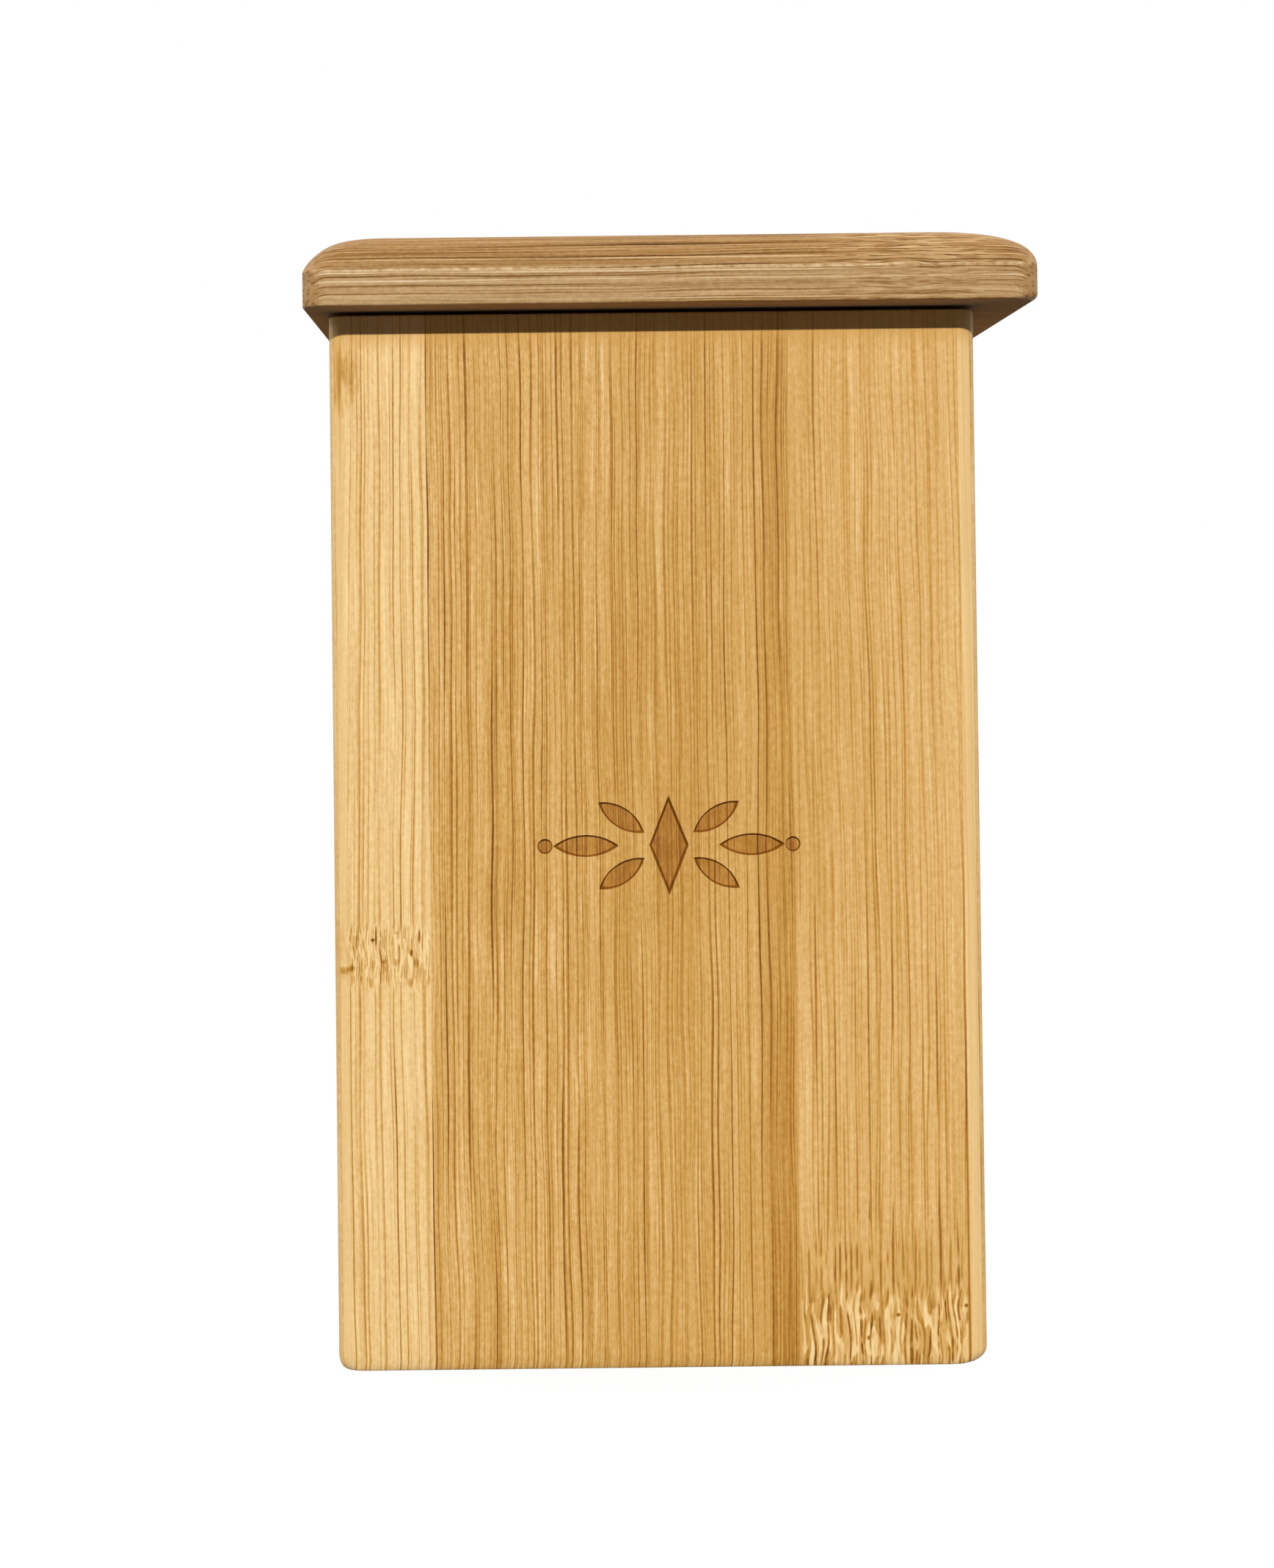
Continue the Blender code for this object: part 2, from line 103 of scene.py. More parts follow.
# Room that the wood leaves round the metal. The leaves face the wood at PLATE_FROM_AXIS from the hinge's
# axis, and what cuts a seat starts at CUTTER_OVERRUN outside the wood
HARDWARE_GAP = 0.3 * MM
MAGNET_CLEARANCE = 0.12 * MM
PLATE_FROM_AXIS = 0.95 * MM
KNUCKLE_GROOVE_RADIUS = 1.8 * MM
CUTTER_OVERRUN = 2.0 * MM

# Eased edges of the metal, and where the recess of a screw's head is
MAGNET_EASE = 0.15 * MM
LEAF_EASE = 0.08 * MM
SCREW_EASE = 0.03 * MM
METAL_EASE_STEPS = 2
METAL_EASE_ANGLE = 40.0
RECESS_DEPTHS = (0.05 * MM, 0.35 * MM)
RECESS_RADIUS = 0.75 * MM

# Edges that turn by more than this many degrees are drawn sharp
WALL_SHARP = 32.0
LID_SHARP = 9.0
METAL_SHARP = 35.0

# Points nearer than this are one point, or lie on the plane of a cut
SAME_POINT = 1e-6
ON_CUT = 1e-7

# Faces that turn by less than this many degrees are one face
SAME_FACE_ANGLE = 1.0

# Engraved ornament. The size of its floor is a share of that of its outline
ORNAMENT_CENTRE = Vector((MIDDLE_X + 1.2 * MM, 55.3 * MM))
ORNAMENT_WIDTH = 28.0 * MM
ORNAMENT_HEIGHT = 10.6 * MM
ORNAMENT_DOT_RADIUS = 0.8 * MM
ORNAMENT_DOT_SHARE = 0.47
LOZENGE_SHARE = 0.075
ENGRAVING_DEPTH = 0.5 * MM
ENGRAVING_TAPER_SHARE = 0.86

# Leaves at one side of the ornament: place, length and width as shares of it, and tilt in degrees
ORNAMENT_LEAVES = (
    ((0.315, 0.0), (0.25, 0.22), 0),
    ((0.180, 0.28), (0.21, 0.20), 34),
    ((0.180, -0.28), (0.21, 0.20), -34),
)

# Floor: its own colour, the white that is seen and the faint glow that lights the object from below
WHITE = (1.0, 1.0, 1.0, 1.0)
FLOOR_HALF_WIDTH = 6.0
FLOOR_DROP = 0.02 * MM
FLOOR_COLOUR = (0.82, 0.90, 1.0, 1.0)
FLOOR_GLOW_SHARE = 0.90
FLOOR_WHITE_STRENGTH = 1.03
FLOOR_FAINT_GLOW = (0.34, 0.45, 1.0, 1.0)
FLOOR_FAINT_STRENGTH = 0.077

# World: strength of its light from the camera's side and from behind, and how far from the side it turns
WORLD_STRENGTHS = (0.045, 1.15)
WORLD_TURN = 0.35

# Camera. Its turns are in degrees
CAMERA_PLACE = (MIDDLE_X - 11.8 * MM, FRONT - 280.0 * MM, 80.7 * MM)
CAMERA_TURNS = (90.93, -0.64)
CAMERA_LENS = 60.45
CAMERA_SHIFT = (0.0597, -0.140)

# Suns: name, strength, width in degrees and the direction that the light comes from
KEY_HEIGHT = math.radians(24)
SUNS = (
    ("key", 2.97, 1.5, (-0.04, -math.cos(KEY_HEIGHT), math.sin(KEY_HEIGHT))),
    ("left side", 0.80, 20.0, (-0.83, 0.25, 0.50)),
    ("right side", 0.80, 20.0, (0.83, 0.25, 0.50)),
)


class Signal:
    """A value in a material or in the world. Arithmetic on it adds Math nodes."""

    def __init__(self, shader, socket):
        self.shader = shader
        self.socket = socket

    def __add__(self, other):
        return self.shader.math("ADD", self, other)

    __radd__ = __add__

    def __sub__(self, other):
        return self.shader.math("SUBTRACT", self, other)

    def __rsub__(self, other):
        return self.shader.math("SUBTRACT", other, self)

    def __mul__(self, other):
        return self.shader.math("MULTIPLY", self, other)

    __rmul__ = __mul__

    def __truediv__(self, other):
        return self.shader.math("DIVIDE", self, other)

    def __abs__(self):
        return self.shader.math("ABSOLUTE", self)

    def __gt__(self, other):
        return self.shader.math("GREATER_THAN", self, other)


class Shader:
    """The nodes of a material or of the world, and the one way in which they are added."""

    def __init__(self, owner):
        owner.use_nodes = True
        self.nodes = owner.node_tree.nodes
        self.links = owner.node_tree.links

    def feed(self, node, inputs):
        for socket, value in inputs.items():
            if isinstance(value, Signal):
                self.links.new(value.socket, node.inputs[socket])
            else:
                node.inputs[socket].default_value = value

    def node(self, kind, settings, inputs, output=0):
        node = self.nodes.new(kind)
        for setting, value in settings.items():
            if setting == "stops":
                set_stops(node.color_ramp, value)
            else:
                setattr(node, setting, value)
        self.feed(node, inputs)
        return Signal(self, node.outputs[output])

    def math(self, operation, *values):
        return self.node("ShaderNodeMath", {"operation": operation}, dict(enumerate(values)))


class Finish(Shader):
    """A material, with what its wood and metal are shaded from."""

    def __init__(self, name):
        self.material = bpy.data.materials.new(name)
        super().__init__(self.material)
        self.surface = self.nodes["Principled BSDF"]

    def place(self):
        """Object coordinates in millimetres."""
        point = self.node("ShaderNodeTexCoord", {}, {}, "Object")
        return [self.node("ShaderNodeSeparateXYZ", {}, {0: point}, axis) / MM for axis in range(3)]

    def noise(self, x, y, z, detail=0.0, roughness=0.5):
        """Smooth noise about 0.5. Detail is how many finer layers it has and roughness their strength."""
        vector = self.combine(x, y, z)
        inputs = {"Vector": vector, "Scale": 1.0, "Detail": detail, "Roughness": roughness}
        return self.node("ShaderNodeTexNoise", {}, inputs)

    def rise(self, value, low, high):
        """0 below low, 1 above high and smooth between."""
        settings = {"interpolation_type": "SMOOTHSTEP"}
        return self.node("ShaderNodeMapRange", settings, {0: value, 1: low, 2: high})

    def ramp(self, value, stops):
        return self.node("ShaderNodeValToRGB", {"stops": stops}, {0: value})

    def mix(self, share, first, second):
        return self.node("ShaderNodeMix", {"data_type": "RGBA"}, {0: share, 6: first, 7: second}, 2)

    def bump(self, height, distance, strength):
        inputs = {"Height": height, "Distance": distance, "Strength": strength}
        return self.node("ShaderNodeBump", {}, inputs)

    def combine(self, x, y, z):
        return self.node("ShaderNodeCombineXYZ", {}, {0: x, 1: y, 2: z})

    def channel(self, colour, index):
        """Red, green or blue of a colour, by its index."""
        return self.node("ShaderNodeSeparateColor", {}, {0: colour}, index)


def set_stops(ramp, stops):
    while len(ramp.elements) < len(stops):
        ramp.elements.new(1.0)
    for element, (position, colour) in zip(ramp.elements, stops):
        element.position = position
        element.color = colour


def srgb(red, green, blue):
    """A colour as it looks on screen, from 0 to 255, in the linear values that shaders use."""
    shares = [channel / 255 for channel in (red, green, blue)]
    linear = [c / 12.92 if c <= 0.04045 else ((c + 0.055) / 1.055) ** 2.4 for c in shares]
    return (*linear, 1.0)


# Bamboo's colours by tone
WALL_TONES = (
    (0.24, srgb(94, 52, 15)),
    (0.36, srgb(140, 85, 25)),
    (0.46, srgb(165, 108, 35)),
    (0.53, srgb(185, 130, 50)),
    (0.62, srgb(205, 153, 73)),
    (0.68, srgb(218, 169, 93)),
    (0.73, srgb(230, 184, 114)),
    (0.80, srgb(243, 205, 140)),
    (0.88, srgb(253, 220, 156)),
)
LID_TONES = (
    (0.20, srgb(74, 42, 14)),
    (0.34, srgb(126, 83, 31)),
    (0.44, srgb(158, 115, 61)),
    (0.54, srgb(184, 145, 95)),
    (0.62, srgb(203, 166, 117)),
    (0.72, srgb(224, 191, 147)),
    (0.84, srgb(241, 215, 178)),
)
RAW_BAMBOO = srgb(222, 198, 160)
RAW_UNDERSIDE = srgb(168, 148, 116)

# The most that the grain stands up
GRAIN_RELIEF = 0.06 * MM

# Kinds of vessel line, as lines per mm and their width and length in mm
BOLD_LINES = (0.85, 0.135, 42.0)
MIDDLING_LINES = (1.80, 0.105, 24.0)
THIN_LINES = (3.30, 0.08, 12.0)
FLAME_STROKES = (2.1, 0.19, 2.4)
RIGHT_STRIP_LINES = (0.85, 0.16, 16.0)
FOOT_STROKES = (1.6, 0.20, 4.0)
BAND_STREAKS = (1.4, 0.19, 26.0)
LID_SILVER_LINES = (1.1, 0.10, 30.0)
LID_BROWN_LINES = (1.2, 0.13, 34.0)

# Pits and soft brown patches of the front, as centres and half sizes in mm
PITS = (
    ((4.16, 45.6), (0.30, 0.22)),
    ((4.50, 46.0), (0.14, 1.30)),
    ((8.25, 44.2), (0.20, 0.50)),
    ((9.10, 45.9), (0.16, 0.95)),
    ((66.6, 6.3), (0.26, 0.26)),
    ((59.4, 5.4), (0.28, 0.26)),
    ((56.2, 3.0), (0.22, 0.34)),
)
PATCHES = (
    ((1.0, 42.35), (0.95, 0.50)),
    ((1.85, 42.6), (0.60, 0.38)),
    ((3.9, 41.0), (0.34, 0.65)),
    ((8.1, 41.0), (0.36, 0.60)),
    ((5.3, 43.3), (0.40, 0.32)),
    ((6.6, 43.2), (0.50, 0.55)),
    ((8.8, 43.1), (0.45, 0.60)),
    ((6.7, 46.3), (0.26, 0.20)),
)

# Where the grain of the front starts, so that the scorched wood in its engraving has the same
FRONT_SEED = 1.0

# Strips of each wall and of the other boards, as start in mm, tone and contrast
FRONT_STRIPS = (
    (0.0, 0.76, 0.86),
    (10.3, 0.65, 1.18),
    (29.4, 0.64, 0.92),
    (49.0, 0.692, 0.60),
    (67.0, 0.78, 0.45),
)
BACK_STRIPS = ((0.0, 0.68, 0.7), (14.5, 0.73, 0.6), (33.8, 0.65, 1.1), (53.0, 0.70, 0.8))
LEFT_STRIPS = ((0.0, 0.73, 0.7), (11.8, 0.66, 1.0), (31.0, 0.70, 0.8), (50.2, 0.64, 1.1))
RIGHT_STRIPS = ((0.0, 0.70, 0.8), (17.0, 0.74, 0.6), (36.3, 0.66, 1.1), (55.4, 0.71, 0.7))
BOTTOM_STRIPS = ((0.0, 0.67, 0.9), (18.5, 0.71, 0.7), (37.7, 0.65, 1.0), (57.0, 0.69, 0.8))
LID_STRIPS = ((0.0, 0.50, 0.90), (21.0, 0.53, 0.75), (40.5, 0.49, 0.85), (60.0, 0.52, 0.75))

# Long streaks of the lid's front as centres and half sizes in mm, and how much they lighten
LID_STREAKS = (
    ((10.0, 6.2), (9.5, 0.16), 0.15),
    ((13.0, 5.7), (16.0, 0.40), -0.07),
    ((38.0, 1.75), (26.0, 0.09), -0.13),
    ((34.0, 1.95), (20.0, 0.08), 0.07),
    ((61.0, 0.62), (12.0, 0.10), -0.12),
    ((70.5, 4.15), (5.5, 0.14), -0.15),
    ((44.0, 4.75), (20.0, 0.14), 0.13),
    ((42.0, 6.3), (24.0, 0.22), -0.10),
)


def staircase(value, steps):
    """Constant between its steps, which are pairs of start and height."""
    height = steps[0][1]
    total = height
    for start, following in steps[1:]:
        total = total + (value > start) * (following - height)
        height = following
    return total


def spot(finish, across, along, centre, size):
    """A soft oval spot, 1 at its centre."""
    x = (across - centre[0]) / size[0]
    y = (along - centre[1]) / size[1]
    return 1 - finish.rise(x * x + y * y, 0.0, 1.0)


def vessel_lines(finish, place, along, kind, seed, fading=(0.30, 0.58)):
    """Lines along the fibres, each with its own strength, that thin out and fade at their ends.

    Fading is between which values of a slow noise a line comes up: low ones give more lines.
    """
    per_mm, width, length = kind
    settings = {"voronoi_dimensions": "1D"}
    inputs = {"W": place, "Scale": per_mm, "Randomness": 0.85}
    nearest = finish.node("ShaderNodeTexVoronoi", settings, inputs) / per_mm
    lot = finish.node("ShaderNodeTexVoronoi", settings, inputs, "Color")
    strength = finish.channel(lot, 0)
    own = finish.channel(lot, 1) * 60 + seed
    fade = finish.rise(finish.noise(own, seed, along / length, 1.0), *fading)
    half_width = width * (0.35 + 0.65 * fade)
    line = 1 - finish.rise(nearest / half_width, 0.25, 1.0)
    return line * fade * (0.25 + 0.75 * strength)


def bamboo(finish, across, through, along, strips, seed):
    """Tone and relief of laminated bamboo strips. Sizes are in mm.

    Each strip has a start, a tone and a contrast. It carries soft bands and ribs, vessel lines of three
    widths, fibres, pale streaks and short flecks, and the lines follow a slow slant and wiggle.
    """
    slant = (finish.noise(across * 0.07, seed, along * 0.012) - 0.5) * 2.0
    wiggle = (finish.noise(across * 0.30, seed, along * 0.065) - 0.5) * 0.60
    edge = across + (finish.noise(seed, 3.0, along * 0.03) - 0.5) * 0.35
    tone = staircase(edge, [(start, height) for start, height, _ in strips])
    contrast = staircase(edge, [(start, amount) for start, _, amount in strips])
    own_shift = staircase(edge, [(entry[0], 5.3 * index) for index, entry in enumerate(strips)])
    place = across + through * 0.6 + slant + wiggle + own_shift + seed

    bold = vessel_lines(finish, place, along, BOLD_LINES, seed)
    middling = vessel_lines(finish, place, along, MIDDLING_LINES, seed + 5)
    thin = vessel_lines(finish, place + 0.2, along, THIN_LINES, seed + 9)
    bands = finish.noise(place * 0.33, 1.0, along * 0.010, 2.0) - 0.5
    ribs = finish.noise(place * 1.25, 2.0, along * 0.026, 2.0) - 0.5
    fibre = finish.noise(place * 4.2, 3.0, along * 0.24, 3.0) - 0.5
    flecks = finish.noise(place * 5.5, 6.0, along * 1.3, 2.0, 0.65) - 0.5
    pale = finish.rise(finish.noise(place * 2.6, 4.0, along * 0.08), 0.58, 0.72)
    dashes = finish.rise(finish.noise(place * 5.2, 5.0, along * 0.30), 0.62, 0.74)
    mottle = finish.noise(place * 1.9, 7.0, along * 1.3, 3.0, 0.7) - 0.5

    dark = bold * 0.32 + middling * 0.20 + thin * 0.08 + dashes * 0.03
    texture = ribs * 0.17 + fibre * 0.11 + flecks * 0.15 + pale * 0.05 - dark + 0.038
    tone = tone + bands * 0.11 + mottle * 0.20 + texture * contrast
    return tone, (fibre * 0.3 - dark) * contrast


def flames(finish, across, along):
    """The knotted fibres of a node: pale tongues and dark strokes that lean this way and that, about 0."""
    place = across + (finish.noise(across * 0.55, 8.0, along * 0.24) - 0.5) * 1.1
    step = finish.noise(across * 1.5, 4.0, 2.0) * 1.5
    vector = finish.combine(place * 2.4, along * 0.36 + step, 0.0)
    settings = {"voronoi_dimensions": "2D", "feature": "SMOOTH_F1"}
    inputs = {"Vector": vector, "Scale": 1.0, "Smoothness": 0.2, "Randomness": 1.0}
    lot = finish.node("ShaderNodeTexVoronoi", settings, inputs, "Color")
    tongues = finish.channel(lot, 0) - 0.5
    strokes = vessel_lines(finish, place, along, FLAME_STROKES, 57.0, (0.38, 0.54))
    fibre = finish.noise(place * 4.2, 9.0, along * 0.30, 2.0) - 0.5
    hatch = finish.noise(place * 4.6, 12.0, along * 0.9, 3.0, 0.7) - 0.5
    return tongues * 0.24 + fibre * 0.20 + hatch * 0.28 - strokes * 0.36 + 0.030


def end_grain(finish, across, through, strips):
    """Tone of bamboo cut across its fibres: rows of dark dots in a paler ground, with thin glue lines."""
    ply = staircase(across, [(start, height) for start, height, _ in strips])
    vector = finish.combine(across * 1.35, through * 1.7, 0.0)
    settings = {"voronoi_dimensions": "2D"}
    inputs = {"Vector": vector, "Scale": 1.0, "Randomness": 0.75}
    nearest = finish.node("ShaderNodeTexVoronoi", settings, inputs)
    lot = finish.node("ShaderNodeTexVoronoi", settings, inputs, "Color")
    strength = finish.channel(lot, 0)
    dots = (1 - finish.rise(nearest, 0.10, 0.40)) * (0.35 + strength * 0.65)
    layer = finish.noise(across * 0.15, through * 0.7, 5.0, 2.0) - 0.5
    grit = finish.noise(across * 3.5, through * 3.5, 6.0, 1.0) - 0.5
    tone = 0.65 + (ply - 0.64) * 0.8 + layer * 0.16 + grit * 0.06 - dots * 0.19
    for start, _, _ in strips[1:]:
        tone = tone - (1 - finish.rise(abs(across - start), 0.03, 0.16)) * 0.10
    return tone


def cut_across(finish, axis, low, high):
    """1 on faces that look along an axis, and 0 on faces that run along it."""
    normal = finish.node("ShaderNodeTexCoord", {}, {}, "Normal")
    toward = finish.node("ShaderNodeSeparateXYZ", {}, {0: normal}, axis)
    return finish.rise(abs(toward), low, high)


def coat(finish, colour, roughness, specular=0.5, metallic=0.0, normal=None):
    """Gives the surface its colour, gloss and relief."""
    inputs = {
        "Base Color": colour,
        "Roughness": roughness,
        "Specular IOR Level": specular,
        "Metallic": metallic,
    }
    if normal:
        inputs["Normal"] = normal
    finish.feed(finish.surface, inputs)


def satin_wood(finish, tone, relief, tones, raw=0.0):
    """Colour, sheen and relief that every board shares. Raw wood, unlike oiled wood, is greyer."""
    colour = finish.mix(raw, finish.ramp(tone, tones), RAW_BAMBOO)
    normal = finish.bump(relief, GRAIN_RELIEF, 0.35)
    coat(finish, colour, roughness=0.52 - relief * 0.2, specular=0.14, normal=normal)


def wall_finish(name, across_axis, outer, direction, strips, seed, figure=None):
    """Bamboo for one wall. Strips count from its lower coordinate, and depth from its outer face."""
    finish = Finish(name)
    place = finish.place()
    across = place[across_axis] - (LEFT, FRONT)[across_axis] / MM
    through = (place[1 - across_axis] - outer / MM) * direction
    along = place[2]
    tone, relief = bamboo(finish, across, through, along, strips, seed)
    if figure:
        tone = figure(finish, across, along, tone)
    cut_end = cut_across(finish, "Z", 0.72, 0.92)
    tone = tone * (1 - cut_end) + end_grain(finish, across, through, strips) * cut_end
    width = ((RIGHT - LEFT) / MM, (BACK - FRONT) / MM)[across_axis]
    from_end = finish.math("MINIMUM", across, width - across)
    joint = 1 - finish.rise(abs(from_end - through), 0.04, 0.14)
    tone = tone - joint * (0.05 + cut_end * 0.15)
    raw = finish.rise(through, 6.0, 6.4) * 0.38
    satin_wood(finish, tone + raw * 0.05, relief * (1 - cut_end), WALL_TONES, raw)
    return finish


def front_figure(finish, across, along, tone):
    """What sets the front wall apart: two nodes, a glue line, smooth edges that are partly a painted
    highlight, pits, a brown band and a painted shade under the lid.

    Places are in mm from the wall's left edge and from its foot.
    """
    ragged = finish.noise(across * 2.2, 2.0, 7.0, 1.0) - 0.5
    ends = finish.noise(across * 2.4, 17.0, 3.0, 1.0)
    cloud = finish.noise(across * 0.4, 1.0, along * 0.06, 1.0) - 0.5
    lower = 1 - finish.rise(along, 30.0, 62.0)

    # Node at the right foot: the lines end in points, then come strokes and then flames
    right_strip = finish.rise(across, 49.0, 49.4) * (1 - finish.rise(across, 66.6, 67.0))
    lines = vessel_lines(finish, across + 0.4, along, RIGHT_STRIP_LINES, 71.0)
    tone = tone - lines * right_strip * (0.10 + lower * 0.20)
    bare = (1 - finish.rise(along - ends * 20, 2.5, 5.0)) * right_strip * 0.88
    strokes = vessel_lines(finish, across + 0.2, along, FOOT_STROKES, 91.0, (0.34, 0.50))
    grain = finish.noise(across * 3.2, 11.0, along * 0.8, 3.0, 0.7) - 0.5
    tone = tone * (1 - bare) + (0.695 + cloud * 0.1 + grain * 0.26 - strokes * 0.36) * bare
    node = (1 - finish.rise(along + ragged * 9, 6.5, 9.5)) * right_strip
    tone = tone * (1 - node) + (0.700 + flames(finish, across, along) * 1.08) * node

    # Node of the left strip: short dashes between pale patches
    left_strip = 1 - finish.rise(across, 10.0, 10.5)
    node = (1 - finish.rise(abs(along - 43.9) - ends * 4, 0.2, 1.7)) * left_strip * 0.85
    dashes = flames(finish, across * 1.9 + 31.0, along * 1.7)
    tone = tone * (1 - node) + (0.765 + dashes * 0.95) * node

    glue = (1 - finish.rise(abs(across - 66.95), 0.03, 0.20)) * (1 - finish.rise(along, 22.0, 42.0) * 0.8)
    # Smooth, pale bands over the rounded corners: partly the edge strips' own lighter wood, partly a
    # painted highlight
    smooth = finish.rise(across, 67.0, 67.3) + (1 - finish.rise(across, 1.2, 1.9))
    tone = tone * (1 - smooth * 0.7) + (0.77 + cloud * 0.08) * smooth * 0.7 - glue * 0.26
    for centre, size in PATCHES:
        tone = tone - spot(finish, across, along, centre, size) * 0.16
    for centre, size in PITS:
        tone = tone - spot(finish, across, along, centre, size) * 0.40

    # Brown band beside the right strip, darkest at the foot
    band = finish.rise(across, 44.5, 46.5) * (1 - finish.rise(across, 48.9, 49.3))
    foot = 1 - finish.rise(along, 6.0, 26.0)
    streaks = vessel_lines(finish, across + 0.7, along, BAND_STREAKS, 33.0, (0.26, 0.46))
    tone = tone * (1 - band * 0.05) + band * (0.003 - foot * 0.018 - streaks * (0.07 + foot * 0.11))

    # Broad, faint shades: browner halfway up and beside the band, and a brown patch at the upper left
    halfway = (1 - finish.rise(abs(along - 66.0), 8.0, 38.0)) * finish.rise(across, 10.3, 20.0)
    tone = tone + 0.010 - halfway * 0.017 * (1 - finish.rise(across, 43.0, 45.0))
    beside = right_strip * (1 - finish.rise(across, 50.0, 57.0)) * (1 - lower)
    tone = tone - beside * 0.03
    patchy = finish.rise(finish.noise(across * 2.2, 15.0, along * 0.22, 2.0), 0.34, 0.62)
    tone = tone - spot(finish, across, along, (1.2, 105.3), (2.4, 4.6)) * patchy * 0.17

    # Painted shade: the band under the lid's overhang, where its shadow falls, is painted more even and a
    # little browner
    rim = finish.rise(along, 107.5, 110.5) * 0.60
    return tone * (1 - rim) + rim * 0.632


def box(bm, low, high):
    made = bmesh.ops.create_cube(bm, size=1.0)
    bmesh.ops.scale(bm, vec=Vector(high) - Vector(low), verts=made["verts"])
    bmesh.ops.translate(bm, vec=(Vector(high) + Vector(low)) / 2, verts=made["verts"])


def bevel(bm, edges, radius, segments):
    bmesh.ops.bevel(
        bm,
        geom=edges,
        offset=radius,
        offset_type="OFFSET",
        segments=segments,
        profile=0.5,
        affect="EDGES",
        material=-1,
    )


def rod(bm, radius, length, segments):
    """A closed cylinder round the z axis."""
    radii = {"radius1": radius, "radius2": radius}
    bmesh.ops.create_cone(bm, cap_ends=True, segments=segments, depth=length, **radii)


def slice_off(bm, point, outward):
    """Cuts away what lies past a plane and closes the cut."""
    everything = bm.verts[:] + bm.edges[:] + bm.faces[:]
    plane = {"plane_co": point, "plane_no": outward}
    made = bmesh.ops.bisect_plane(bm, geom=everything, clear_outer=True, dist=ON_CUT, **plane)
    edges = [item for item in made["geom_cut"] if isinstance(item, bmesh.types.BMEdge)]
    bmesh.ops.contextual_create(bm, geom=edges)


def smooth_over(mesh, sharp):
    """Draws a mesh smooth, apart from edges that turn by more than some degrees."""
    mesh.shade_smooth()
    mesh.set_sharp_from_angle(angle=math.radians(sharp))


def add_piece(name, bm, finishes, sharp=WALL_SHARP):
    bmesh.ops.recalc_face_normals(bm, faces=bm.faces)
    mesh = bpy.data.meshes.new(name)
    bm.to_mesh(mesh)
    bm.free()
    piece = bpy.data.objects.new(name, mesh)
    bpy.context.scene.collection.objects.link(piece)
    for finish in finishes:
        mesh.materials.append(finish.material)
    smooth_over(mesh, sharp)
    return piece


def carve(piece, cutter_bm, finishes=(), sharp=WALL_SHARP):
    """Cuts a shape out of a piece for good. The cut's faces keep the cutter's finish where it has one."""
    cutter = add_piece("cutter", cutter_bm, finishes)
    modifier = piece.modifiers.new("carve", "BOOLEAN")
    modifier.operation = "DIFFERENCE"
    modifier.solver = "EXACT"
    modifier.material_mode = "TRANSFER" if finishes else "INDEX"
    modifier.object = cutter
    carved = bpy.data.meshes.new_from_object(piece.evaluated_get(bpy.context.evaluated_depsgraph_get()))
    piece.modifiers.clear()
    old = piece.data
    carved.name = old.name
    piece.data = carved
    bpy.data.meshes.remove(old)
    bpy.data.objects.remove(cutter)
    smooth_over(carved, sharp)


def flatten_shading(piece):
    """Keeps broad faces flat beside their rounded edges."""
    modifier = piece.modifiers.new("even", "WEIGHTED_NORMAL")
    modifier.keep_sharp = True


def stand_for(piece, node, body):
    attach(piece, body)
    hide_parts(node)


def edges_where(bm, test):
    return [edge for edge in bm.edges if all(test(vert.co) for vert in edge.verts)]


def ring(bm, points):
    verts = [bm.verts.new(point) for point in points]
    return [bm.edges.new((a, b)) for a, b in zip(verts, verts[1:] + verts[:1])]


def plan(low, high, insets, radius, height):
    """The points of a plan with rounded corners, set in from its left, right, front and back."""
    left, right, front, back = insets
    near = (low[0] + left + radius, low[1] + front + radius)
    far = (high[0] - right - radius, high[1] - back - radius)
    centres = ((far[0], near[1]), (far[0], far[1]), (near[0], far[1]), (near[0], near[1]))
    points = []
    for quarter, centre in enumerate(centres):
        for step in range(CORNER_STEPS + 1):
            angle = math.pi / 2 * (quarter - 1 + step / CORNER_STEPS)
            x = centre[0] + radius * math.cos(angle)
            y = centre[1] + radius * math.sin(angle)
            points.append((x, y, height))
    return points


def loft(bm, rings):
    """A closed body through plans that stand one above the other."""
    loops = [ring(bm, points) for points in rings]
    for lower, upper in zip(loops, loops[1:]):
        bmesh.ops.bridge_loops(bm, edges=lower + upper)
    bmesh.ops.contextual_create(bm, geom=loops[0])
    bmesh.ops.contextual_create(bm, geom=loops[-1])


def body_rings():
    """Plans of the whole box, which narrow at the foot and a little at the rim."""
    corners = ((LEFT, FRONT), (RIGHT, BACK))
    rings = []
    for step in range(FOOT_STEPS + 1):
        angle = math.pi / 2 * step / FOOT_STEPS
        insets = [width * (1 - math.sin(angle)) for width in FOOT_ROUNDS]
        height = FOOT_HEIGHT * (1 - math.cos(angle))
        rings.append(plan(*corners, insets, CORNER_RADIUS, height))
    for step in range(RIM_STEPS + 1):
        angle = math.pi / 2 * step / RIM_STEPS
        insets = [RIM_EASE * (1 - math.cos(angle))] * 4
        height = RIM - RIM_EASE * (1 - math.sin(angle))
        rings.append(plan(*corners, insets, CORNER_RADIUS, height))
    return rings


